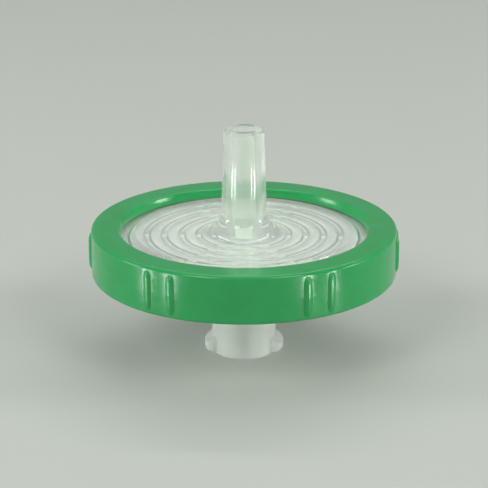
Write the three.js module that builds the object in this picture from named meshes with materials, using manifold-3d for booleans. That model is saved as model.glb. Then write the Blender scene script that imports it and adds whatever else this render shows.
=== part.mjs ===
// A 25 mm syringe filter with a luer lock inlet and a luer slip outlet.
//
// Two moulded shells of natural polypropylene clamp a round membrane between them. The inlet
// shell carries the female luer socket with its two locking lugs and spreads the liquid over the
// membrane with radial ribs. The outlet shell holds the membrane up on concentric ribs, drains it
// through radial channels and ends in the male luer cone. A coloured ring is moulded round the
// rims of both shells and holds the stack shut for good.
//
// Millimetres, +Z up. The origin is the centre of the inlet's end face, and the filter stands on
// that face with its outlet up.

import * as THREE from 'three';
import { mergeVertices } from 'three/addons/utils/BufferGeometryUtils.js';
import Module from 'manifold-3d';

const wasm = await Module();
wasm.setup();

// ---------------------------------------------------------------- driving dimensions

// membrane
const MEMBRANE_DIAMETER = 25;
const MEMBRANE_THICKNESS = 0.15;

// the stack, from the inlet's end to the outlet's tip
const INLET_REACH = 8.2; // from the inlet's end face to the ring
const RING_PROUD = 0.5; // how far the ring stands above each shell's face
const FACE_STEP = 0.45; // how far each shell's rim lies below its face
const INLET_PLATE = 1.2;
const CHAMBER_DEPTH = 0.6; // free height between the inlet plate and the membrane
const DRAIN_DEPTH = 0.6; // free height between the membrane and the outlet plate
const OUTLET_PLATE = 1.2;
const OUTLET_REACH = 9.8; // from the ring to the outlet's tip

// the rims, from the membrane's edge outwards
const CLAMP_WIDTH = 1.6; // width of the membrane's edge that the shells clamp
const MEMBRANE_EDGE_GAP = 0.1;
const RIM_GAP = 0.05; // between the inlet shell's edge and the outlet shell's lip
const LIP_WALL = 0.7;
const RING_WALL = 1.7; // the ring outside the lip
const RING_OVERLAP = 1.2; // how far the ring reaches in over the shells' rims
const RING_DRAFT = 0.2; // how far the ring's inner edge leans outwards to its face
const GROOVE_WIDTH = 0.6; // open part of the rim between the ring and the bevel
const BEVEL_RUN = 0.8; // bevel between a shell's rim and its face

// the grip ribs on the ring's edge, which stand in pairs
const GRIP_PAIR_COUNT = 6;
const GRIP_RIB_SPACING = 2.5; // between the two ribs of a pair
const GRIP_RIB_RADIUS = 0.45; // of the rib's round back
const GRIP_RIB_HEIGHT = 0.25; // how far a rib stands out of the ring
const GRIP_RIB_END_GAP = 0.5; // from a rib's ends to the ring's faces

// luer fittings, both with the standard 6 % taper
const LUER_TAPER = 0.06; // change of diameter for each millimetre of length
const SOCKET_MOUTH_DIAMETER = 4.3;
const HUB_WALL = 1; // round the socket's mouth
const THROAT_DIAMETER = 2.5; // hole from the socket into the inlet chamber
const THROAT_LENGTH = 2.3;
const TIP_DIAMETER = 3.97;
const TIP_BORE_DIAMETER = 2.1;
const DRAIN_DIAMETER = 2.5; // hole from the drain side into the outlet

// the locking lugs, two level ears beside the socket's mouth
const LUG_COUNT = 2;
const LUG_HEIGHT = 0.75; // above the hub
const LUG_END_HEIGHT = 0.25; // of the lug's blunt ends
const LUG_SWEEP = THREE.MathUtils.degToRad(70);
const LUG_ROOT_WIDTH = 1.6;
const LUG_MOUTH_FLANK = 0.2; // height of the steep flank that faces the mouth
const LUG_BACK_FLANK = 0.7; // height of the flank that the lock pulls on
const LUG_START = 0.2; // from the inlet's end face to the lug
const LUG_RUN_OUT = 0.15; // share of the lug's length over which each end slopes into the hub

// the ribs behind the membrane and in front of it
const SUPPORT_RIB_WIDTH = 0.6;
const SUPPORT_RIB_PITCH = 1.7;
const SUPPORT_RIB_DRAFT = 0.08; // how far a rib's sides lean in to its top
const DRAIN_CHANNEL_COUNT = 6;
const DRAIN_CHANNEL_WIDTH = 0.9;
const DRAIN_CHANNEL_DEPTH = 0.35; // from the ribs' tops
const SPREADER_RIB_COUNT = 12;
const SPREADER_RIB_WIDTH = 0.6;
const SPREADER_MEMBRANE_GAP = 0.15; // from the ribs' backs to the membrane
const SPREADER_THROAT_GAP = 1.3; // from the throat to the ribs' inner ends
const SPREADER_EDGE_GAP = 0.6; // from the ribs' outer ends to the clamped rim

// fillets and chamfers
const RING_FILLET = 0.35;
const RING_INNER_FILLET = 0.2;
const HUB_FILLET = 0.8;
const FLARE_FILLET = 2; // between the outlet cone and the face that it stands on
const FACE_FILLET = 0.25;
const MOUTH_CHAMFER = 0.15;
const TIP_CHAMFER = 0.2;

// facets
const TURN_STEPS = 72; // in every full turn, so that touching pieces share their facets
const FILLET_STEPS = 3;

// ---------------------------------------------------------------- derived places

const membraneRadius = MEMBRANE_DIAMETER / 2;
const landRadius = membraneRadius - CLAMP_WIDTH;
const lipInnerRadius = membraneRadius + MEMBRANE_EDGE_GAP;
const inletRimRadius = lipInnerRadius - RIM_GAP;
const lipOuterRadius = lipInnerRadius + LIP_WALL;
const ringRadius = lipOuterRadius + RING_WALL;
const ringInnerRadius = lipOuterRadius - RING_OVERLAP;
const bevelFootRadius = ringInnerRadius - GROOVE_WIDTH;
const faceRadius = bevelFootRadius - BEVEL_RUN;

const ringInletZ = INLET_REACH;
const inletFaceZ = ringInletZ + RING_PROUD;
const inletRimZ = inletFaceZ + FACE_STEP;
const chamberFloorZ = inletFaceZ + INLET_PLATE;
const membraneInletZ = chamberFloorZ + CHAMBER_DEPTH;
const membraneOutletZ = membraneInletZ + MEMBRANE_THICKNESS;
const drainFloorZ = membraneOutletZ + DRAIN_DEPTH;
const outletFaceZ = drainFloorZ + OUTLET_PLATE;
const outletRimZ = outletFaceZ - FACE_STEP;
const ringOutletZ = outletFaceZ + RING_PROUD;
const tipZ = ringOutletZ + OUTLET_REACH;

const socketMouthRadius = SOCKET_MOUTH_DIAMETER / 2;
const hubRadius = socketMouthRadius + HUB_WALL;
const throatRadius = THROAT_DIAMETER / 2;
const socketDepth = chamberFloorZ - THROAT_LENGTH;
const socketEndRadius = socketMouthRadius - (socketDepth * LUER_TAPER) / 2;
const drainRadius = DRAIN_DIAMETER / 2;
const tipRadius = TIP_DIAMETER / 2;
const coneFootRadius = tipRadius + ((tipZ - outletFaceZ) * LUER_TAPER) / 2;
const supportGap = SUPPORT_RIB_PITCH - SUPPORT_RIB_WIDTH;

// ---------------------------------------------------------------- helpers

// Turns the corners [radius, height, fillet] of a closed outline into its points. A corner with a
// fillet becomes an arc that touches both of its sides.
function outline(corners) {
  const points = [];
  corners.forEach(([x, y, fillet = 0], i) => {
    const corner = new THREE.Vector2(x, y);
    if (fillet === 0) {
      points.push(corner);
      return;
    }
    const before = corners[(i + corners.length - 1) % corners.length];
    const after = corners[(i + 1) % corners.length];
    const toBefore = new THREE.Vector2(before[0] - x, before[1] - y).normalize();
    const toAfter = new THREE.Vector2(after[0] - x, after[1] - y).normalize();
    const halfAngle = Math.acos(toBefore.dot(toAfter)) / 2;
    const bisector = toBefore.clone().add(toAfter).normalize();
    const centre = corner.clone().addScaledVector(bisector, fillet / Math.sin(halfAngle));
    const touch = fillet / Math.tan(halfAngle);
    const start = corner.clone().addScaledVector(toBefore, touch).sub(centre);
    const end = corner.clone().addScaledVector(toAfter, touch).sub(centre);
    const turn = Math.atan2(start.cross(end), start.dot(end));
    for (let step = 0; step <= FILLET_STEPS; step += 1) {
      const spoke = start.clone().rotateAround(new THREE.Vector2(), (turn * step) / FILLET_STEPS);
      points.push(spoke.add(centre));
    }
  });
  return points;
}

// Revolves a closed outline about Z. The corners run anticlockwise with the radius to the right.
function revolve(corners) {
  const points = outline(corners);
  const geometry = new THREE.LatheGeometry([...points, points[0]], TURN_STEPS);
  return geometry.rotateX(Math.PI / 2);
}

// A box from its lowest to its highest corner.
function block(low, high) {
  const geometry = new THREE.BoxGeometry(high[0] - low[0], high[1] - low[1], high[2] - low[2]);
  return geometry.translate((low[0] + high[0]) / 2, (low[1] + high[1]) / 2, (low[2] + high[2]) / 2);
}

// Copies of a geometry, evenly spaced round Z.
function roundZ(geometry, count, firstAngle = 0) {
  return Array.from({ length: count }, (_, i) =>
    geometry.clone().rotateZ(firstAngle + (i * 2 * Math.PI) / count));
}

// A closed geometry as a solid that can be cut and joined.
function toSolid(geometry) {
  const bare = geometry.clone();
  bare.deleteAttribute('normal');
  bare.deleteAttribute('uv');
  const merged = mergeVertices(bare, 1e-4);
  return new wasm.Manifold(new wasm.Mesh({
    numProp: 3,
    vertProperties: merged.attributes.position.array,
    triVerts: new Uint32Array(merged.index.array),
  }));
}

// A solid as a geometry again.
function toGeometry(solid) {
  const mesh = solid.getMesh();
  const geometry = new THREE.BufferGeometry();
  geometry.setAttribute('position', new THREE.BufferAttribute(mesh.vertProperties, 3));
  geometry.setIndex(new THREE.BufferAttribute(mesh.triVerts, 1));
  geometry.computeVertexNormals();
  return geometry;
}

const join = (geometry, others) =>
  toGeometry(others.reduce((solid, other) => solid.add(toSolid(other)), toSolid(geometry)));

const cut = (geometry, others) =>
  toGeometry(others.reduce((solid, other) => solid.subtract(toSolid(other)), toSolid(geometry)));

// ---------------------------------------------------------------- inlet shell

// One locking lug: a bar with a tapered section, bent round the hub with its middle over X. Its ends
// slope down into the hub's wall, and its steps follow the hub's facets.
function lockingLug() {
  const steps = Math.round((LUG_SWEEP / (2 * Math.PI)) * TURN_STEPS);
  const bar = new THREE.BoxGeometry(1, 1, 1, steps, 1, 1);
  const position = bar.attributes.position;
  const sunkRadius = hubRadius - MOUTH_CHAMFER;
  for (let i = 0; i < position.count; i += 1) {
    const along = position.getX(i) + 0.5;
    const isMouthSide = position.getY(i) < 0;
    const isCrest = position.getZ(i) > 0;
    const slope = Math.min(along / LUG_RUN_OUT, (1 - along) / LUG_RUN_OUT, 1);
    const height = LUG_END_HEIGHT + slope * (LUG_HEIGHT - LUG_END_HEIGHT);
    const radius = isCrest ? hubRadius + height : sunkRadius;
    const angle = (along - 0.5) * LUG_SWEEP;
    const flank = isMouthSide ? LUG_MOUTH_FLANK : -LUG_BACK_FLANK;
    const rootZ = isMouthSide ? LUG_START : LUG_START + LUG_ROOT_WIDTH;
    const z = isCrest ? rootZ + flank : rootZ;
    position.setXYZ(i, radius * Math.cos(angle), radius * Math.sin(angle), z);
  }
  return bar;
}

// One radial rib of the chamber floor, which keeps the liquid's paths open under the membrane.
function spreaderRib() {
  const root = INLET_PLATE / 4;
  return block(
    [throatRadius + SPREADER_THROAT_GAP, -SPREADER_RIB_WIDTH / 2, chamberFloorZ - root],
    [
      landRadius - SPREADER_EDGE_GAP,
      SPREADER_RIB_WIDTH / 2,
      membraneInletZ - SPREADER_MEMBRANE_GAP,
    ],
  );
}

function inletShell() {
  const body = revolve([
    [socketMouthRadius + MOUTH_CHAMFER, 0],
    [hubRadius - MOUTH_CHAMFER, 0],
    [hubRadius, MOUTH_CHAMFER],
    [hubRadius, inletFaceZ, HUB_FILLET],
    [faceRadius, inletFaceZ, FACE_FILLET],
    [bevelFootRadius, inletRimZ],
    [inletRimRadius, inletRimZ],
    [inletRimRadius, membraneInletZ],
    [landRadius, membraneInletZ],
    [landRadius, chamberFloorZ],
    [throatRadius, chamberFloorZ],
    [throatRadius, socketDepth],
    [socketEndRadius, socketDepth],
    [socketMouthRadius, MOUTH_CHAMFER],
  ]);
  return join(body, [
    ...roundZ(lockingLug(), LUG_COUNT),
    ...roundZ(spreaderRib(), SPREADER_RIB_COUNT),
  ]);
}

// ---------------------------------------------------------------- membrane

function membrane() {
  const profile = [
    [0, membraneInletZ],
    [membraneRadius, membraneInletZ],
    [membraneRadius, membraneOutletZ],
    [0, membraneOutletZ],
  ].map(([radius, z]) => new THREE.Vector2(radius, z));
  return new THREE.LatheGeometry(profile, TURN_STEPS).rotateX(Math.PI / 2);
}

// ---------------------------------------------------------------- outlet shell

// The corners of the concentric ribs that carry the membrane, from the drain hole outwards. The
// outermost rib keeps its place beside the clamped rim, and as many as fit follow it inwards.
function supportRibCorners() {
  const count = Math.floor((landRadius - drainRadius - supportGap / 2) / SUPPORT_RIB_PITCH);
  return Array.from({ length: count }, (_, i) => {
    const outer = landRadius - supportGap - (count - 1 - i) * SUPPORT_RIB_PITCH;
    const inner = outer - SUPPORT_RIB_WIDTH;
    return [
      [inner, drainFloorZ],
      [inner + SUPPORT_RIB_DRAFT, membraneOutletZ],
      [outer - SUPPORT_RIB_DRAFT, membraneOutletZ],
      [outer, drainFloorZ],
    ];
  }).flat();
}

// One radial channel through the ribs' tops, from the drain hole to the middle of the last gap. The
// ribs' feet stay whole, so that they also stiffen the plate.
function drainChannel() {
  return block(
    [drainRadius / 2, -DRAIN_CHANNEL_WIDTH / 2, membraneOutletZ - DRAIN_CHANNEL_DEPTH],
    [
      landRadius - supportGap / 2,
      DRAIN_CHANNEL_WIDTH / 2,
      membraneOutletZ + DRAIN_CHANNEL_DEPTH,
    ],
  );
}

function outletShell() {
  const body = revolve([
    [drainRadius, drainFloorZ],
    ...supportRibCorners(),
    [landRadius, drainFloorZ],
    [landRadius, membraneOutletZ],
    [lipInnerRadius, membraneOutletZ],
    [lipInnerRadius, inletRimZ],
    [lipOuterRadius, inletRimZ],
    [lipOuterRadius, outletRimZ],
    [bevelFootRadius, outletRimZ],
    [faceRadius, outletFaceZ, FACE_FILLET],
    [coneFootRadius, outletFaceZ, FLARE_FILLET],
    [tipRadius + (TIP_CHAMFER * LUER_TAPER) / 2, tipZ - TIP_CHAMFER],
    [tipRadius - TIP_CHAMFER, tipZ],
    [TIP_BORE_DIAMETER / 2, tipZ],
  ]);
  return cut(body, roundZ(drainChannel(), DRAIN_CHANNEL_COUNT));
}

// ---------------------------------------------------------------- ring

// One upright grip rib with a round back and round ends, sunk into the ring's edge.
function gripRib() {
  const length = ringOutletZ - ringInletZ - 2 * GRIP_RIB_END_GAP;
  return new THREE.CapsuleGeometry(GRIP_RIB_RADIUS, length - 2 * GRIP_RIB_RADIUS, 2, 12)
    .rotateX(Math.PI / 2)
    .translate(ringRadius + GRIP_RIB_HEIGHT - GRIP_RIB_RADIUS, 0, (ringInletZ + ringOutletZ) / 2);
}

function overmouldRing() {
  const body = revolve([
    [ringInnerRadius + RING_DRAFT, ringInletZ, RING_INNER_FILLET],
    [ringRadius, ringInletZ, RING_FILLET],
    [ringRadius, ringOutletZ, RING_FILLET],
    [ringInnerRadius + RING_DRAFT, ringOutletZ, RING_INNER_FILLET],
    [ringInnerRadius, outletRimZ],
    [lipOuterRadius, outletRimZ],
    [lipOuterRadius, inletRimZ],
    [ringInnerRadius, inletRimZ],
  ]);
  const halfPair = GRIP_RIB_SPACING / 2 / ringRadius;
  return join(body, [
    ...roundZ(gripRib(), GRIP_PAIR_COUNT, -halfPair),
    ...roundZ(gripRib(), GRIP_PAIR_COUNT, halfPair),
  ]);
}

// ---------------------------------------------------------------- materials and assembly

const naturalPlastic = new THREE.MeshStandardMaterial({
  color: 0xdfe6dc, roughness: 0.3, metalness: 0, transparent: true, opacity: 0.6,
});
const greenPlastic = new THREE.MeshStandardMaterial({ color: 0x2f9e58, roughness: 0.25, metalness: 0 });
const whiteMembrane = new THREE.MeshStandardMaterial({ color: 0xf1f2ec, roughness: 0.85, metalness: 0 });

function piece(name, geometry, material) {
  const mesh = new THREE.Mesh(geometry, material);
  mesh.name = name;
  return mesh;
}

const filter = new THREE.Group();
filter.add(piece('inlet_shell', inletShell(), naturalPlastic));
filter.add(piece('membrane', membrane(), whiteMembrane));
filter.add(piece('outlet_shell', outletShell(), naturalPlastic));
filter.add(piece('overmould_ring', overmouldRing(), greenPlastic));

export default filter;
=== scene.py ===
# %% [markdown]
# # A syringe filter
#
# A syringe filter is a small clear disc with a fitting on each side. A syringe locks on to the wide
# socket below, the liquid is pressed through a white membrane inside, and it leaves by the narrow
# cone on top. Two shells of natural polypropylene hold the membrane, and a green ring is moulded
# round both so that nothing can come apart.
#
# The imported CAD model comes first. It is the frame: it fixes every size and place, and the fine
# surfaces made below only take over its shapes.

import math

import bpy
import numpy as np
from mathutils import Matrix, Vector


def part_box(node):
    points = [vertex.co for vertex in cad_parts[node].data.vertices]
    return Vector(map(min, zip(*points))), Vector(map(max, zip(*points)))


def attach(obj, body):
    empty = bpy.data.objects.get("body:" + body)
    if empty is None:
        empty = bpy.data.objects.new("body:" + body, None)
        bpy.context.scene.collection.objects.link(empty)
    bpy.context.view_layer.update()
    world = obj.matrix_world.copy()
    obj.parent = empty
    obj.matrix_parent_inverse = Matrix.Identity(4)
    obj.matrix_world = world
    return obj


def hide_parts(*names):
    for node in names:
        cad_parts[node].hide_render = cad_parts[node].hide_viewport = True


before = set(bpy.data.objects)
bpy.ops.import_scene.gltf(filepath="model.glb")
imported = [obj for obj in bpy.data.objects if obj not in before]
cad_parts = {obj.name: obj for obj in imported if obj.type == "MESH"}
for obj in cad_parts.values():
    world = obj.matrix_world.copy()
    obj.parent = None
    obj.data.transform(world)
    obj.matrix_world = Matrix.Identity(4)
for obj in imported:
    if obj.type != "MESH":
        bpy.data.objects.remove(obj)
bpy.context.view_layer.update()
print("CAD pieces:", ", ".join(sorted(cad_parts)))

# %% [markdown]
# ## Sizes
#
# A filter is small, so this file thinks in millimetres and turns them into Blender's metres only
# when a mesh is written. What the boxes of the CAD pieces tell is read from them. The sizes inside a
# box, such as a wall or a rib, are named here once.

# %% Boxes of the CAD pieces
MM = 0.001


def corners_of(node):
    """The lowest and the highest corner of a CAD piece, in millimetres."""
    low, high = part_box(node)
    return np.array(low) / MM, np.array(high) / MM


ring_low, ring_high = corners_of("overmould_ring")
inlet_high = corners_of("inlet_shell")[1]
sheet_high = corners_of("membrane")[1]
outlet_low, outlet_high = corners_of("outlet_shell")
print(f"ring from {ring_low[2]:.2f} to {ring_high[2]:.2f} mm, membrane at {sheet_high[2]:.2f} mm")

# %% Sizes in millimetres
# Radii, from the axis outwards.
THROAT, SOCKET_MOUTH, HUB_WALL = 1.25, 2.15, 1.0
DRAIN_BORE, TIP_BORE, TIP = 1.25, 1.05, 1.985
CLAMPED, SHEET_GAP = 1.6, 0.1  # the membrane's rim between the shells, and the gap round it
RING_OVERLAP = 1.2  # how far the ring reaches inwards over the shells' rims
GROOVE, BEVEL_RUN = 0.6, 0.8  # widths of the flat inside the ring and of the bevel inside that
hub = SOCKET_MOUTH + HUB_WALL
sheet_radius = sheet_high[0]
land = sheet_radius - CLAMPED
inlet_rim_radius = inlet_high[0]
lip_inner = sheet_radius + SHEET_GAP
lip_outer = outlet_high[0]
ring_radius = ring_high[1]
ring_inner = lip_outer - RING_OVERLAP
bevel_foot = ring_inner - GROOVE
face_radius = bevel_foot - BEVEL_RUN

# Heights, from the inlet's end upwards.
RING_PROUD, FACE_STEP = 0.5, 0.45  # from the ring's face in to the shell's, and on to the bevel's foot
PLATE, THROAT_LONG = 1.2, 2.3  # thickness of either plate, and from the socket's end to the chamber
inlet_face = ring_low[2] + RING_PROUD
inlet_rim = outlet_low[2]
chamber_floor = inlet_face + PLATE
socket_end = chamber_floor - THROAT_LONG
outlet_face = ring_high[2] - RING_PROUD
outlet_rim = outlet_face - FACE_STEP
drain_floor = outlet_face - PLATE
tip_end = outlet_high[2]

LUER_TAPER = 0.06  # change of a luer fitting's diameter with its length
AIR = 0.01  # between pieces that touch, so that no two faces lie in one place

# Fillets that both shells share.
FACE_FILLET, BEVEL_FILLET = 0.25, 0.1  # where the face turns into the bevel, and at the bevel's foot
WALL_FILLET, INSIDE_FILLET = 0.12, 0.15  # at the foot of the chamber's wall, and elsewhere inside
print(f"ring {2 * ring_radius:.1f} mm across, filter {tip_end:.2f} mm tall")

# %% [markdown]
# ## From an outline to a turned surface
#
# Moulded round parts are easiest to describe by their section. An outline of a few corners says all,
# and every corner of a moulding is a little round, so each one gets an arc. The outline is then
# carried round the axis. That gives a grid: one row for each point of the outline and one column for
# each angle. Working on whole grids keeps the later steps short, because a lug or a rib is only a
# number added to part of the grid.

# %% Outlines
ARC_STEPS = 7
EDGE = 0.06  # radius of an edge that isn't meant to be round
COARSE = 0.9  # longest step along a straight run that carries no detail
STRAIGHT = math.pi / 2 - 1e-3  # a corner with a larger half angle needs no arc
TINY = 1e-12  # keeps the bisector defined where both sides are in line


def corner(radius, height, fillet=EDGE, step=COARSE):
    """A corner of an outline. step is the longest step on the straight run that follows it."""
    return radius, height, fillet, step


def unit(vectors):
    """The vectors with their lengths made 1."""
    return vectors / np.linalg.norm(vectors, axis=-1, keepdims=True)


def outline(corners):
    """The closed outline through the corners, as rows of radius and height.

    At each corner an arc touches both sides. Its centre lies on the bisector, fillet / sin(half the
    corner's angle) away, and it starts and ends fillet / tan(half the angle) along the sides. The
    arc's points are the blend of its first and last spoke that keeps their length.
    """
    table = np.array(corners, float)
    at, fillet, step = table[:, :2], table[:, 2:3], table[:, 3]
    back, ahead = unit(np.roll(at, 1, 0) - at), unit(np.roll(at, -1, 0) - at)
    half = np.arccos(np.clip((back * ahead).sum(1, keepdims=True), -1, 1)) / 2
    straight = half > STRAIGHT
    reach = np.where(straight, 0, fillet / np.tan(np.minimum(half, STRAIGHT)))
    centre = at + unit(back + ahead + TINY) * fillet / np.sin(half)
    first, last = at + back * reach, at + ahead * reach
    points = []
    for i in range(len(table)):
        if straight[i, 0] or fillet[i, 0] == 0:
            points.append(at[i : i + 1])
        else:
            a, b = first[i] - centre[i], last[i] - centre[i]
            turn = math.acos(np.clip(a @ b / (a @ a), -1, 1))
            t = np.linspace(0, 1, ARC_STEPS + 1)[:, None]
            arc = (np.sin((1 - t) * turn) * a + np.sin(t * turn) * b) / math.sin(turn)
            points.append(centre[i] + arc)
        end, start = points[-1][-1], first[(i + 1) % len(table)]
        pieces = max(1, math.ceil(np.linalg.norm(start - end) / step[i]))
        share = np.arange(1, pieces)[:, None] / pieces
        points.append(end + (start - end) * share)
    return np.concatenate(points)


# %% Grids and meshes
def grid(section, angles):
    """Radius, height and angle of each grid point: the section's rows at the angles' columns."""
    radius, height = (np.broadcast_to(s[:, None], (len(s), angles.shape[-1])) for s in section.T)
    return radius.copy(), height.copy(), np.broadcast_to(angles, radius.shape)


def turned(name, radius, height, angle, material):
    """A closed mesh from a grid that joins up both round the axis and along the outline.

    A point is (radius cos angle, radius sin angle, height). Each face goes one column on, then one
    row on, so that it points away from the material.
    """
    points = np.stack([radius * np.cos(angle), radius * np.sin(angle), height], -1) * MM
    rows, columns = radius.shape
    number = np.arange(rows * columns).reshape(rows, columns)
    beyond = np.roll(number, -1, 0)
    faces = np.stack([number, np.roll(number, -1, 1), np.roll(beyond, -1, 1), beyond], -1)
    return shaped(name, points.reshape(-1, 3), faces.reshape(-1, 4).tolist(), material)


def shaped(name, points, faces, material):
    """A smooth object with these points and faces, at the origin."""
    mesh = bpy.data.meshes.new(name)
    mesh.from_pydata(points, [], faces)
    mesh.polygons.foreach_set("use_smooth", np.ones(len(faces), bool))
    mesh.materials.append(material)
    made = bpy.data.objects.new(name, mesh)
    bpy.context.collection.objects.link(made)
    print(f"{name}: {len(points)} points, {len(faces)} faces")
    return made


def soft_step(x):
    """Rises smoothly from 0 to 1 as x goes from 0 to 1."""
    x = np.clip(x, 0, 1)
    return x * x * (3 - 2 * x)


# %% [markdown]
# ## Columns that gather at a feature
#
# A straight rib or channel that runs outwards has parallel sides, while the columns of a turned grid
# spread like a fan. Where a rib should be crisp at every radius, the columns are bent to follow it.
# Each sector holds one rib in its middle. A fixed share of the columns stays on the rib, a few make
# its flanks, and the rest spread over what is left.

# %% Bent columns
ON_RIB, OFF_RIB = 0.1875, 0.25  # share of a sector's columns from its middle to a flank's two ends
FLANK = 0.1  # width of a flank
CREST_LIMIT, FOOT_LIMIT = 0.3, 0.36  # of a sector, where a rib near the axis would fill it


def bent_columns(radius, sectors, per_sector, half_width):
    """Angles of a grid with the given row radii, and how much each column belongs to a rib.

    At radius r the rib's edge lies at the angle whose sine is half_width / r. Columns run in even
    steps from the rib's middle to that edge, from there down the flank, and on to the sector's end.
    """
    sector = 2 * math.pi / sectors
    u = np.arange(per_sector) / per_sector - 0.5
    side, share = np.sign(u), np.abs(u)
    radius = radius[:, None]
    crest = np.minimum(np.arcsin(np.minimum(half_width / radius, 1)), CREST_LIMIT * sector)
    foot = np.minimum(np.arcsin(np.minimum((half_width + FLANK) / radius, 1)), FOOT_LIMIT * sector)
    on_crest = share / ON_RIB * crest
    on_flank = crest + (share - ON_RIB) / (OFF_RIB - ON_RIB) * (foot - crest)
    beside = foot + (share - OFF_RIB) / (0.5 - OFF_RIB) * (sector / 2 - foot)
    angle = side * np.where(share <= ON_RIB, on_crest, np.where(share <= OFF_RIB, on_flank, beside))
    belongs = 1 - soft_step((share - ON_RIB) / (OFF_RIB - ON_RIB))
    angles = np.concatenate([angle + k * sector for k in range(sectors)], 1)
    return angles, np.tile(belongs, sectors)


# %% [markdown]
# ## Shader helpers
#
# Materials are node trees. A few helpers keep the lines short. One adds a node and sets its sockets
# by name, or by number where several share a name. One builds a group with named inputs and outputs,
# and one starts an empty material. The rest are the steps that most materials here share: a colour
# between two others, a product of two values, and a shader for some rays with another for the rest.

# %% Node helpers
def add(tree, kind, settings=None, **sockets):
    """A node of that kind. settings are its properties, sockets its values or incoming links."""
    node = tree.nodes.new(kind)
    for name, value in (settings or {}).items():
        setattr(node, name, value)
    for name, value in sockets.items():
        socket = node.inputs[int(name[1:])] if name[1:].isdigit() else node.inputs[name.replace("_", " ")]
        if isinstance(value, bpy.types.NodeSocket):
            tree.links.new(value, socket)
        else:
            socket.default_value = value
    return node


def group(name, inputs, outputs):
    """An empty shader group. inputs maps a name to (socket type, default), outputs to a type."""
    tree = bpy.data.node_groups.new(name, "ShaderNodeTree")
    for label, (kind, default) in inputs.items():
        made = tree.interface.new_socket(label, in_out="INPUT", socket_type=kind)
        if default is not None:
            made.default_value = default
    for label, kind in outputs.items():
        tree.interface.new_socket(label, in_out="OUTPUT", socket_type=kind)
    return tree, tree.nodes.new("NodeGroupInput").outputs, tree.nodes.new("NodeGroupOutput").inputs


def new_material(name):
    """An empty material, its tree and its output's surface socket."""
    made = bpy.data.materials.new(name)
    made.use_nodes = True
    made.node_tree.nodes.clear()
    return made, made.node_tree, made.node_tree.nodes.new("ShaderNodeOutputMaterial").inputs["Surface"]


def colour_between(tree, share, first, second):
    """A colour that goes from the first to the second as share goes from 0 to 1.

    Sockets 6 and 7 of a mix node are its two colours, and its output 2 is the mixed one.
    """
    return add(
        tree, "ShaderNodeMix", {"data_type": "RGBA"},
        _0=share, _6=(*first, 1), _7=(*second, 1),
    ).outputs[2]


def product(tree, one, other):
    """One value times the other."""
    return add(tree, "ShaderNodeMath", {"operation": "MULTIPLY"}, _0=one, _1=other).outputs[0]


def shader_between(tree, share, first, second):
    """The first shader where share is 0, the second where it is 1."""
    return add(tree, "ShaderNodeMixShader", _0=share, _1=first, _2=second).outputs[0]


# %% [markdown]
# ## The skin of a moulding
#
# Both plastics come out of a polished steel mould and then tumble about with a hundred others. So
# the skin has a very shallow waviness where the plastic shrank, which makes reflections swim a
# little, and a haze of fine rubs that dulls them in patches. One group makes both and each material
# takes it at its own strength.

# %% Moulded skin
def make_moulded_skin():
    """Waviness as a height in metres, and a roughness between two values that follows the rubs."""
    tree, given, result = group(
        "Moulded skin",
        {
            "Coordinates": ("NodeSocketVector", None),
            "Smoothest": ("NodeSocketFloat", 0.15),
            "Roughest": ("NodeSocketFloat", 0.35),
            "Wave depth": ("NodeSocketFloat", 0.00001),
            "Rub depth": ("NodeSocketFloat", 0.000001),
        },
        {"Roughness": "NodeSocketFloat", "Height": "NodeSocketFloat"},
    )
    at = given["Coordinates"]
    waves = add(tree, "ShaderNodeTexNoise", Vector=at, Scale=450.0, Detail=2.0, Roughness=0.45)
    patches = add(tree, "ShaderNodeTexNoise", Vector=at, Scale=260.0, Detail=4.0, Roughness=0.6)
    drawn = add(
        tree, "ShaderNodeMapping",
        Vector=at, Scale=(900.0, 5200.0, 2500.0), Rotation=(0.3, 0.2, 0.7),
    )
    rubs = add(tree, "ShaderNodeTexNoise", Vector=drawn.outputs[0], Scale=1.0, Detail=3.0, Roughness=0.55)
    rough = add(
        tree, "ShaderNodeMapRange", Value=product(tree, patches.outputs[0], rubs.outputs[0]),
        From_Min=0.14, From_Max=0.4, To_Min=given["Smoothest"], To_Max=given["Roughest"],
    )
    height = add(
        tree, "ShaderNodeMath", {"operation": "MULTIPLY_ADD"}, _0=rubs.outputs[0], _1=given["Rub depth"],
        _2=product(tree, waves.outputs[0], given["Wave depth"]),
    )
    tree.links.new(rough.outputs[0], result["Roughness"])
    tree.links.new(height.outputs[0], result["Height"])
    return tree


moulded_skin = make_moulded_skin()
print("group:", moulded_skin.name)

# %% [markdown]
# ## Natural polypropylene
#
# Without pigment, polypropylene is neither clear nor white. Thin walls let you see what lies behind
# them, softened, and thick ones turn milky. So the material is part rough glass and part a pale body
# that scatters light below its surface, and the inlet shell, which has the thicker walls, gets the
# smaller share of glass. The luer fittings are polished so that they seal, while the plates keep the
# grain of their mould, so the roughness grows with the distance from the axis. A shell that shuts
# light out would make the membrane inside look grey. So lamps are let through the shell: for shadow
# rays alone, most of it is transparent.

# %% Natural plastic
POLISHED_TO, MATT_FROM = 0.0035, 0.005  # distances from the axis, in metres
OPEN_TO_LAMPS = 0.92  # share of a lamp's light that goes straight through


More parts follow.
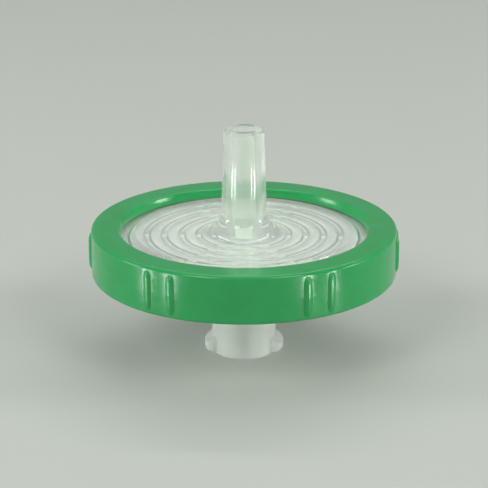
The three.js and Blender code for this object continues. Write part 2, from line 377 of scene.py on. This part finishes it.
def make_natural_plastic(name, clear_share):
    """Milky plastic, of which clear_share behaves like rough glass."""
    made, tree, surface = new_material(name)
    at = add(tree, "ShaderNodeTexCoord").outputs["Object"]
    flat = add(tree, "ShaderNodeVectorMath", {"operation": "MULTIPLY"}, _0=at, _1=(1, 1, 0))
    away = add(tree, "ShaderNodeVectorMath", {"operation": "LENGTH"}, _0=flat.outputs[0]).outputs["Value"]

    def from_polished_to_matt(polished, matt):
        """A value that changes with the distance from the axis."""
        return add(
            tree, "ShaderNodeMapRange",
            Value=away, From_Min=POLISHED_TO, From_Max=MATT_FROM, To_Min=polished, To_Max=matt,
        ).outputs[0]

    skin = add(
        tree, "ShaderNodeGroup", {"node_tree": moulded_skin}, Coordinates=at,
        Smoothest=from_polished_to_matt(0.05, 0.13), Roughest=from_polished_to_matt(0.12, 0.24),
        Wave_depth=0.000003, Rub_depth=0.0000003,
    )
    bump = add(tree, "ShaderNodeBump", Height=skin.outputs["Height"], Strength=0.5, Distance=1.0)
    clouds = add(tree, "ShaderNodeTexNoise", Vector=at, Scale=330.0, Detail=3.0, Roughness=0.5)
    milk = colour_between(tree, clouds.outputs[0], (0.80, 0.85, 0.80), (0.88, 0.91, 0.87))
    body = add(
        tree, "ShaderNodeBsdfPrincipled",
        Base_Color=milk, Roughness=skin.outputs["Roughness"], Normal=bump.outputs[0],
        IOR=1.49, Transmission_Weight=clear_share, Subsurface_Weight=0.5,
        Subsurface_Radius=(1.0, 1.0, 1.0), Subsurface_Scale=0.0008,
    )
    clear = add(tree, "ShaderNodeBsdfTransparent", Color=(0.97, 0.985, 0.97, 1))
    share = product(tree, add(tree, "ShaderNodeLightPath").outputs["Is Shadow Ray"], OPEN_TO_LAMPS)
    tree.links.new(shader_between(tree, share, body.outputs[0], clear.outputs[0]), surface)
    return made


natural_plastic = make_natural_plastic("natural_plastic", 0.86)
thick_plastic = make_natural_plastic("natural_plastic_thick", 0.62)
print("materials:", natural_plastic.name, thick_plastic.name)

# %% [markdown]
# ## Green polypropylene
#
# The ring is the same plastic with a strong pigment. The pigment hides what lies behind it, but light
# still wanders a little way in, which keeps thin edges bright and saturated. The surface is glossier
# than the shells', because the ring is moulded last and touches the steel all round.

# %% Green plastic
def make_green_plastic():
    """Pigmented plastic whose pigment is faintly swirled."""
    made, tree, surface = new_material("green_plastic")
    at = add(tree, "ShaderNodeTexCoord").outputs["Object"]
    swirl = add(
        tree, "ShaderNodeTexNoise",
        Vector=at, Scale=210.0, Detail=3.0, Roughness=0.55, Distortion=0.6,
    )
    shade = colour_between(tree, swirl.outputs[0], (0.014, 0.28, 0.07), (0.026, 0.38, 0.11))
    skin = add(
        tree, "ShaderNodeGroup", {"node_tree": moulded_skin},
        Coordinates=at, Smoothest=0.12, Roughest=0.26, Wave_depth=0.00004, Rub_depth=0.0000004,
    )
    bump = add(tree, "ShaderNodeBump", Height=skin.outputs["Height"], Strength=0.5, Distance=1.0)
    body = add(
        tree, "ShaderNodeBsdfPrincipled",
        Base_Color=shade, Roughness=skin.outputs["Roughness"], Normal=bump.outputs[0],
        IOR=1.5, Subsurface_Weight=0.25, Subsurface_Radius=(0.3, 1.0, 0.45), Subsurface_Scale=0.0006,
    )
    tree.links.new(body.outputs[0], surface)
    return made


green_plastic = make_green_plastic()
print("material:", green_plastic.name)

# %% [markdown]
# ## The membrane
#
# The membrane is a sheet of cellulose foam, matt like paper and very white. Seen close up it has a
# felt of short fibres and faint clouds where it is a little thicker.

# %% Membrane material
def make_membrane_white():
    """Matt white felt."""
    made, tree, surface = new_material("membrane_white")
    at = add(tree, "ShaderNodeTexCoord").outputs["Object"]
    felt = add(tree, "ShaderNodeTexNoise", Vector=at, Scale=3800.0, Detail=4.0, Roughness=0.7)
    clouds = add(tree, "ShaderNodeTexNoise", Vector=at, Scale=420.0, Detail=4.0, Roughness=0.6)
    white = colour_between(tree, clouds.outputs[0], (0.52, 0.575, 0.52), (0.60, 0.65, 0.595))
    bump = add(tree, "ShaderNodeBump", Height=felt.outputs[0], Strength=0.6, Distance=0.00003)
    rough = add(tree, "ShaderNodeMapRange", Value=felt.outputs[0], To_Min=0.8, To_Max=0.98)
    body = add(
        tree, "ShaderNodeBsdfPrincipled",
        Base_Color=white, Roughness=rough.outputs[0], Normal=bump.outputs[0],
        Subsurface_Weight=0.3, Subsurface_Radius=(1.0, 1.0, 1.0), Subsurface_Scale=0.0003,
    )
    tree.links.new(body.outputs[0], surface)
    return made


membrane_white = make_membrane_white()
print("material:", membrane_white.name)

# %% [markdown]
# ## The inlet shell
#
# The inlet shell is one moulding: the hub with its luer socket, the plate, and inside the plate the
# radial ribs that keep the liquid's paths open under the membrane. Its outline goes once round the
# section, up the outside of the hub and back down the socket. Two kinds of relief are then added to
# the grid. The ribs lift the rows of the chamber's floor, and the locking lugs push the rows of the
# hub outwards. Because both are part of the one surface, nothing shows inside the clear plastic that
# isn't there on the real piece.

# %% Inlet outline
MOUTH_CHAMFER, HUB_FILLET = 0.15, 0.8
LUG_FINE, LUG_TOP = 0.05, 2.2  # row spacing under the lugs, and the height that they stay below
SPREADERS, SPREADER_TALL, SPREADER_WIDE = 12, 0.45, 0.6
SPREADER_END = 0.12  # length of the slope at a rib's ends
THROAT_CLEAR, WALL_CLEAR = 1.3, 0.6  # from a rib's ends to the throat and to the chamber's wall
spreader_from, spreader_to = THROAT + THROAT_CLEAR, land - WALL_CLEAR

inlet_outline = outline([
    corner(SOCKET_MOUTH + MOUTH_CHAMFER, 0),
    corner(hub - MOUTH_CHAMFER, 0, step=LUG_FINE),
    corner(hub, MOUTH_CHAMFER, step=LUG_FINE),
    corner(hub, LUG_TOP, 0),
    corner(hub, inlet_face, HUB_FILLET),
    corner(face_radius, inlet_face, FACE_FILLET),
    corner(bevel_foot, inlet_rim, BEVEL_FILLET),
    corner(inlet_rim_radius, inlet_rim),
    corner(inlet_rim_radius, inlet_high[2]),
    corner(land, inlet_high[2]),
    corner(land, chamber_floor, WALL_FILLET),
    corner(spreader_to + SPREADER_END, chamber_floor, 0, step=SPREADER_END / 3),
    corner(spreader_to, chamber_floor, 0),
    corner(spreader_from, chamber_floor, 0, step=SPREADER_END / 3),
    corner(spreader_from - SPREADER_END, chamber_floor, 0),
    corner(THROAT, chamber_floor, INSIDE_FILLET),
    corner(THROAT, socket_end),
    corner(SOCKET_MOUTH - LUER_TAPER * socket_end / 2, socket_end, INSIDE_FILLET),
    corner(SOCKET_MOUTH, MOUTH_CHAMFER),
])
print(len(inlet_outline), "rows")

# %% [markdown]
# The lugs are two level ears beside the socket's mouth. The lock of a syringe pulls on their upper
# flank, so that one slopes, and the flank at the mouth is steep. On the hub's wall, unrolled flat,
# each lug is a bar. Its height over the wall depends on how far a point lies inside the bar's two
# long edges, full on the crest and falling to nothing down the flanks, and on how near the bar's two
# ends are.

# %% Relief of the inlet shell
LUG_SWEEP, LUG_SHUT = math.radians(70), math.radians(4)  # round the hub, and to shut each end
LUG_RUN_OUT = 0.15  # share of a lug's length over which each end slopes down
LUG_TALL, LUG_END_TALL = 0.75, 0.25  # how far it stands out, along it and at its ends
LUG_START, LUG_ROOT = 0.2, 1.6  # from the mouth to the root, and the root's width
LUG_MOUTH_FLANK, LUG_BACK_FLANK = 0.2, 0.7


def lug_height(height, angle):
    """How far the lugs stand out of the hub at a height and an angle.

    The height is a product. Across the bar it is 1 on the crest and sinks to 0 at the root's two
    edges, half straight and half softly. Along the bar, where s goes from 0 to 1, it slopes up from
    a low end and down again, and the last factor shuts both ends.
    """
    total = np.zeros_like(height)
    up_front = (height - LUG_START) / LUG_MOUTH_FLANK
    down_back = (LUG_START + LUG_ROOT - height) / LUG_BACK_FLANK
    flank = np.minimum(up_front, down_back)
    across = 0.5 * np.clip(flank, 0, 1) + 0.5 * soft_step(flank)
    for lug_middle in (0, math.pi):
        s = (angle - lug_middle + LUG_SWEEP / 2) % (2 * math.pi) / LUG_SWEEP
        from_end = np.minimum(s, 1 - s)
        along = LUG_END_TALL + (LUG_TALL - LUG_END_TALL) * soft_step(from_end / LUG_RUN_OUT)
        shut = soft_step(from_end * LUG_SWEEP / LUG_SHUT)
        total += np.where(s < 1, across * along * shut, 0)
    return total


def spreader_share(radius):
    """1 along a spreader rib, falling to 0 past its two ends."""
    past_start = (radius - spreader_from) / SPREADER_END
    before_end = (spreader_to - radius) / SPREADER_END
    return soft_step(past_start + 1) * soft_step(before_end + 1)


# %% Build the inlet shell
NEARLY = 1e-6  # rows this close to a height or a radius count as lying on it
COLUMNS = 32  # for each rib
angles, on_rib = bent_columns(inlet_outline[:, 0], SPREADERS, COLUMNS, (SPREADER_WIDE - FLANK) / 2)
radius, height, angle = grid(inlet_outline, angles)
is_floor = (np.abs(height - chamber_floor) < NEARLY) & (radius < land)
is_hub = (radius > SOCKET_MOUTH + HUB_WALL / 2) & (radius < hub + NEARLY) & (height < LUG_TOP)
height = height + np.where(is_floor, SPREADER_TALL * spreader_share(radius) * on_rib, 0)
radius = radius + np.where(is_hub, lug_height(height, angle), 0)
inlet = turned("inlet_shell_fine", radius, height, angle, thick_plastic)

# %% [markdown]
# ## The outlet shell
#
# The outlet shell holds the membrane up against the flow. Behind the membrane stand concentric ribs,
# and radial channels cut through them lead the filtered liquid to the bore. Above the plate a flared
# foot runs into the luer cone. The channels are made the other way round from the ribs of the inlet:
# where a bent column lies in a channel, the ribs' lower rows are lifted to the channel's floor.

# %% Outlet outline
TIP_CHAMFER, FLARE_FILLET = 0.2, 2.0
SUPPORT_WIDE, SUPPORT_PITCH, SUPPORT_FILLET = 0.6, 1.7, 0.08
SUPPORT_DRAFT = 0.1  # a rib is this much narrower at its top, on each side
support_gap = SUPPORT_PITCH - SUPPORT_WIDE
support_count = int((land - DRAIN_BORE - support_gap / 2) / SUPPORT_PITCH)
support_top = sheet_high[2] + AIR


def support_rib(number):
    """The four corners of one support rib, counted from the axis."""
    outer = land - support_gap - (support_count - 1 - number) * SUPPORT_PITCH
    inner = outer - SUPPORT_WIDE
    return [
        corner(inner, drain_floor, INSIDE_FILLET),
        corner(inner + SUPPORT_DRAFT, support_top, SUPPORT_FILLET),
        corner(outer - SUPPORT_DRAFT, support_top, SUPPORT_FILLET),
        corner(outer, drain_floor, INSIDE_FILLET),
    ]


cone_foot = TIP + LUER_TAPER * (tip_end - outlet_face) / 2
outlet_outline = outline([
    corner(DRAIN_BORE, drain_floor, INSIDE_FILLET),
    *[c for number in range(support_count) for c in support_rib(number)],
    corner(land, drain_floor, WALL_FILLET),
    corner(land, support_top),
    corner(lip_inner, support_top),
    corner(lip_inner, inlet_rim),
    corner(lip_outer, inlet_rim),
    corner(lip_outer, outlet_rim),
    corner(bevel_foot, outlet_rim, BEVEL_FILLET),
    corner(face_radius, outlet_face, FACE_FILLET),
    corner(cone_foot, outlet_face, FLARE_FILLET),
    corner(TIP + LUER_TAPER * TIP_CHAMFER / 2, tip_end - TIP_CHAMFER),
    corner(TIP - TIP_CHAMFER, tip_end),
    corner(TIP_BORE, tip_end),
])
print(len(outlet_outline), "rows,", support_count, "support ribs")

# %% Build the outlet shell
CHANNELS, CHANNEL_HALF, CHANNEL_DEEP = 6, 0.45, 0.35  # their number, half their width, their depth
COLUMNS = 48  # for each channel
angles, in_channel = bent_columns(outlet_outline[:, 0], CHANNELS, COLUMNS, CHANNEL_HALF)
radius, height, angle = grid(outlet_outline, angles)
is_support = (height < drain_floor) & (height > support_top - AIR) & (radius < land - support_gap / 2)
lift = np.maximum(support_top + CHANNEL_DEEP - height, 0)
height = height + np.where(is_support, lift * in_channel, 0)
outlet = turned("outlet_shell_fine", radius, height, angle, natural_plastic)

# %% [markdown]
# ## The membrane disc
#
# The disc lies flat between the shells, clamped at its rim. Its outline starts and ends on the axis,
# where all the columns of a turned grid would meet in one place. So the grid stops short of the axis
# on both faces, and each pole is a single point that closes the surface with a fan of triangles.

# %% Build the membrane
def disc(name, radii, levels, columns, material):
    """A closed disc from rows of radius and level, the first and the last of them on the axis."""
    around = np.arange(columns) / columns * 2 * math.pi
    radius, angle = np.meshgrid(radii[1:-1], around, indexing="ij")
    level = np.broadcast_to(levels[1:-1, None], radius.shape)
    body = np.stack([radius * np.cos(angle), radius * np.sin(angle), level], -1).reshape(-1, 3)
    points = np.concatenate([body, [[0, 0, levels[0]], [0, 0, levels[-1]]]]) * MM
    number = np.arange(len(body)).reshape(radius.shape)
    beside = np.roll(number, -1, 1)
    quads = np.stack([number[:-1], beside[:-1], beside[1:], number[1:]], -1).reshape(-1, 4)
    low, high = np.full(columns, len(body)), np.full(columns, len(body) + 1)
    fans = [np.stack([low, beside[0], number[0]], -1), np.stack([high, number[-1], beside[-1]], -1)]
    return shaped(name, points, quads.tolist() + np.concatenate(fans).tolist(), material)


SHEET_EDGE = 0.03  # how much of the disc's rim is cut off at a slant
SHEET_ROWS, SHEET_COLUMNS = 60, 240
across = np.linspace(0, sheet_radius - SHEET_EDGE, SHEET_ROWS)
radii = np.concatenate([across, [sheet_radius, sheet_radius], across[::-1]])
below, above = inlet_high[2] + AIR, sheet_high[2]
steps = [below, below + SHEET_EDGE, above - SHEET_EDGE, above]
levels = np.repeat(steps, [SHEET_ROWS, 1, 1, SHEET_ROWS])
sheet = disc("membrane_fine", radii, levels, SHEET_COLUMNS, membrane_white)

# %% [markdown]
# ## The green ring
#
# The ring is moulded last. The closed filter lies in the mould and the green plastic flows round its
# rim, so the ring's section is a C that grips both shells. Its edge is plain but for pairs of short
# upright ribs that give the fingers a hold. The columns of this grid crowd together near the ribs,
# because a rib is less than a millimetre wide and the edge between two pairs is smooth. A rib's back
# is round, and its ends sink into the ring along a wider arc.

# %% Ring outline
EDGE_FINE, DRAFT = 0.1, 0.03  # row spacing on the ring's edge, and how far it leans in from its middle
CROWN = 3.0  # radius that rounds the middle of the edge
RING_FILLET, INNER_FILLET = 0.35, 0.2  # at the ring's outer and inner edges
INNER_LEAN = 0.2  # how far the walls inside the ring lean outwards
ring_middle = (ring_low[2] + ring_high[2]) / 2
ring_outline = outline([
    corner(ring_inner + INNER_LEAN, ring_low[2], INNER_FILLET),
    corner(ring_radius - DRAFT, ring_low[2], RING_FILLET, step=EDGE_FINE),
    corner(ring_radius, ring_middle, CROWN, step=EDGE_FINE),
    corner(ring_radius - DRAFT, ring_high[2], RING_FILLET),
    corner(ring_inner + INNER_LEAN, ring_high[2], INNER_FILLET),
    corner(ring_inner, outlet_rim + AIR),
    corner(lip_outer + AIR, outlet_rim + AIR),
    corner(lip_outer + AIR, inlet_rim - AIR),
    corner(ring_inner, inlet_rim - AIR),
])
print(len(ring_outline), "rows")

# %% Columns of the ring
PAIRS, SPACING = 6, 2.5  # pairs of ribs, and the distance between the two of a pair
half_pair = SPACING / 2 / ring_radius
pair_angles = np.arange(PAIRS)[:, None] * 2 * math.pi / PAIRS
rib_angles = (pair_angles + np.array([-half_pair, half_pair])).ravel()
CROWDING, CROWD_REACH = 14, math.radians(1.8)  # of the columns at a rib, and how far it reaches
FINE_ANGLES = 20001  # at which the columns' density is added up


def from_nearest_rib(angle):
    """Angle from each column to the rib next to it, with its sign."""
    away = (angle[..., None] - rib_angles + math.pi) % (2 * math.pi) - math.pi
    return np.take_along_axis(away, np.abs(away).argmin(-1)[..., None], -1)[..., 0]


def crowded_columns(count):
    """Angles whose density rises near the ribs.

    The density is 1 plus a bell over each rib. Its running total, scaled to run from 0 to 1, says
    which share of the columns lies before an angle, and reading it backwards in even steps gives them.
    """
    fine = np.linspace(0, 2 * math.pi, FINE_ANGLES)
    density = 1 + CROWDING * np.exp(-((from_nearest_rib(fine) / CROWD_REACH) ** 2))
    total = np.concatenate([[0], np.cumsum((density[1:] + density[:-1]) / 2)])
    return np.interp(np.arange(count) / count, total / total[-1], fine)


print(len(rib_angles), "grip ribs")

# %% Build the ring
GRIP_BACK, GRIP_OUT = 0.45, 0.2485  # radius of a rib's back, and how far it stands out
GRIP_CLEAR = 0.45  # bare edge above and below a rib
GRIP_END_ARC = 1.4  # radius along which a rib's back sinks to the ring at its ends
grip_end_long = math.sqrt(GRIP_END_ARC**2 - (GRIP_END_ARC - GRIP_OUT) ** 2)


def grip_height(height, angle):
    """How far the grip ribs stand out of the ring.

    A rib's back is round: at a distance d from its middle line it is the root of the radius squared
    less d squared, sunk so far that only GRIP_OUT is left. Over the last grip_end_long at each end
    the back sinks along a second, wider arc.
    """
    beside = np.abs(from_nearest_rib(angle)) * ring_radius
    half_long = (ring_high[2] - ring_low[2]) / 2 - GRIP_CLEAR - grip_end_long
    beyond = np.maximum(np.abs(height - ring_middle) - half_long, 0)
    back = np.sqrt(np.maximum(GRIP_BACK**2 - beside**2, 0)) - GRIP_BACK
    end = np.sqrt(np.maximum(GRIP_END_ARC**2 - beyond**2, 0)) - GRIP_END_ARC
    return np.maximum(GRIP_OUT + back + end, 0)


RING_COLUMNS, EDGE_DEPTH = 600, 0.1  # rows less than this inside the edge carry the ribs
radius, height, angle = grid(ring_outline, crowded_columns(RING_COLUMNS))
radius = radius + np.where(radius > ring_radius - EDGE_DEPTH, grip_height(height, angle), 0)
ring = turned("overmould_ring_fine", radius, height, angle, green_plastic)

# %% [markdown]
# ## Taking the place of the CAD pieces
#
# Each fine surface stands for one CAD piece, which stays behind for collision. It rides on the same
# body, so it goes where the CAD piece goes.

# %% Replace the CAD pieces
STANDS_FOR = {
    "inlet_shell": (inlet, "natural_plastic"),
    "membrane": (sheet, "membrane"),
    "outlet_shell": (outlet, "natural_plastic"),
    "overmould_ring": (ring, "green_plastic"),
}
for node, (piece, slot) in STANDS_FOR.items():
    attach(piece, "root")
    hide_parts(node)
print("replaced:", ", ".join(STANDS_FOR))

# %% [markdown]
# ## Floor and light
#
# The filter stands on a pale grey-green sheet in a pale room. A large soft lamp and a long tube hang
# above and behind it, a tall lamp stands at each side, and two square ones in front. The side lamps
# stand far round, so that they light both edges of the round walls and leave the middle calm. The
# flat faces would mirror them as a white sheet, so reflections see a low strip in place of each.
# Seen from a little above, upright walls mirror what stands low beside them. So two small bright
# cards stand close to the filter on either side, seen in reflections alone. They draw the lines down
# the cone and the shine on each rib of the ring's edge. Below the ring the floor is in shade, and
# plastic that mirrors it or shows it through would look dull. For such rays alone the floor has a
# glow of its own. The strengths add up so that a colour renders about as it is written.

# %% Floor
FLOOR_GLOW = (0.50, 0.54, 0.49, 1)
GLOW_SHARE = 0.4  # how far the glow takes the place of the sheet's own shade
FLOOR_HALF = 1.5  # half the floor's width, in metres


def make_floor_grey():
    """A matt sheet that glows for reflected and refracted rays."""
    made, tree, surface = new_material("floor_grey")
    at = add(tree, "ShaderNodeTexCoord").outputs["Object"]
    grain = add(tree, "ShaderNodeTexNoise", Vector=at, Scale=35.0, Detail=3.0)
    shade = colour_between(tree, grain.outputs[0], (0.52, 0.55, 0.505), (0.54, 0.57, 0.525))
    body = add(
        tree, "ShaderNodeBsdfPrincipled",
        Base_Color=shade, Roughness=0.9, Specular_IOR_Level=0.0,
    )
    glow = add(tree, "ShaderNodeEmission", Color=FLOOR_GLOW, Strength=1.0)
    path = add(tree, "ShaderNodeLightPath").outputs
    through = add(
        tree, "ShaderNodeMath", {"operation": "MAXIMUM"},
        _0=path["Is Glossy Ray"], _1=path["Is Transmission Ray"],
    )
    share = product(tree, through.outputs[0], GLOW_SHARE)
    tree.links.new(shader_between(tree, share, body.outputs[0], glow.outputs[0]), surface)
    return made


signs = np.array([[-1, -1], [1, -1], [1, 1], [-1, 1]])
points = np.column_stack([signs * FLOOR_HALF, np.full(4, -AIR * MM)])
floor = shaped("floor", points, [[0, 1, 2, 3]], make_floor_grey())

# %% Lamp and camera helpers
ring_centre = np.array([0, 0, ring_middle]) * MM


def place_facing(name, data, target, azimuth, elevation, distance):
    """A lamp or camera that looks at a point, from angles in degrees and a distance in metres.

    Azimuth 0 lies in front of the filter and 90 to its right.
    """
    a, e = math.radians(azimuth - 90), math.radians(elevation)
    away = np.array([math.cos(e) * math.cos(a), math.cos(e) * math.sin(a), math.sin(e)])
    made = bpy.data.objects.new(name, data)
    made.location = target + away * distance
    made.rotation_euler = (math.pi / 2 - e, 0, a + math.pi / 2)
    bpy.context.collection.objects.link(made)
    return made


def softbox(name, azimuth, elevation, distance, wide, tall, watts, colour=(1.0, 1.0, 1.0)):
    """A flat lamp that faces the middle of the ring, with its distance and its sides in metres."""
    lamp = bpy.data.lights.new(name, "AREA")
    lamp.shape = "RECTANGLE"
    lamp.size, lamp.size_y = wide, tall
    lamp.energy, lamp.color = watts, colour
    return place_facing(name, lamp, ring_centre, azimuth, elevation, distance)


# %% Lamps
GLEAM_SHARE = 0.29  # of a strip's strength, for the low strip that reflections see instead

softbox("top", 150, 75, 0.45, 0.45, 0.36, 0.27, (1.0, 1.0, 0.99))
softbox("tube", 176, 52, 0.50, 0.50, 0.03, 0.42)
for side, azimuth, watts in (("left", -84, 0.62), ("right", 86, 0.56)):
    strip = softbox(side + "_strip", azimuth, 15, 0.35, 0.09, 0.17, watts)
    strip.visible_glossy = False
    gleam = softbox(side + "_gleam", azimuth, 5, 0.36, 0.09, 0.05, GLEAM_SHARE * watts)
    gleam.visible_diffuse = gleam.visible_transmission = False
softbox("left_key", -32, 36, 0.45, 0.15, 0.14, 0.46)
softbox("right_key", 38, 36, 0.45, 0.15, 0.14, 0.42)
for azimuth in (-61, -44.3, 41.4, 58):
    card = softbox("card", azimuth, -8, 0.0418, 0.0026, 0.0095, 0.0023)
    card.visible_camera = card.visible_diffuse = card.visible_transmission = False

# %% Room
world = bpy.data.worlds.new("room")
bpy.context.scene.world = world
world.use_nodes = True
room = world.node_tree.nodes["Background"].inputs
room["Color"].default_value = (0.93, 0.96, 0.93, 1)
room["Strength"].default_value = 0.33
print("world:", world.name)

# %% [markdown]
# ## Camera
#
# A long lens keeps the turned shapes true. It looks down just enough to open the white face inside
# the ring, and low enough to see the locking lugs on the hub below it.

# %% Camera
camera = bpy.data.cameras.new("camera")
camera.lens, camera.clip_start, camera.clip_end = 150, 0.01, 10
aim = np.array([0, 0, 11.0]) * MM
bpy.context.scene.camera = place_facing("camera", camera, aim, azimuth=2, elevation=19, distance=0.2)
bpy.context.scene.view_settings.view_transform = "Standard"
print("camera:", bpy.context.scene.camera.location)
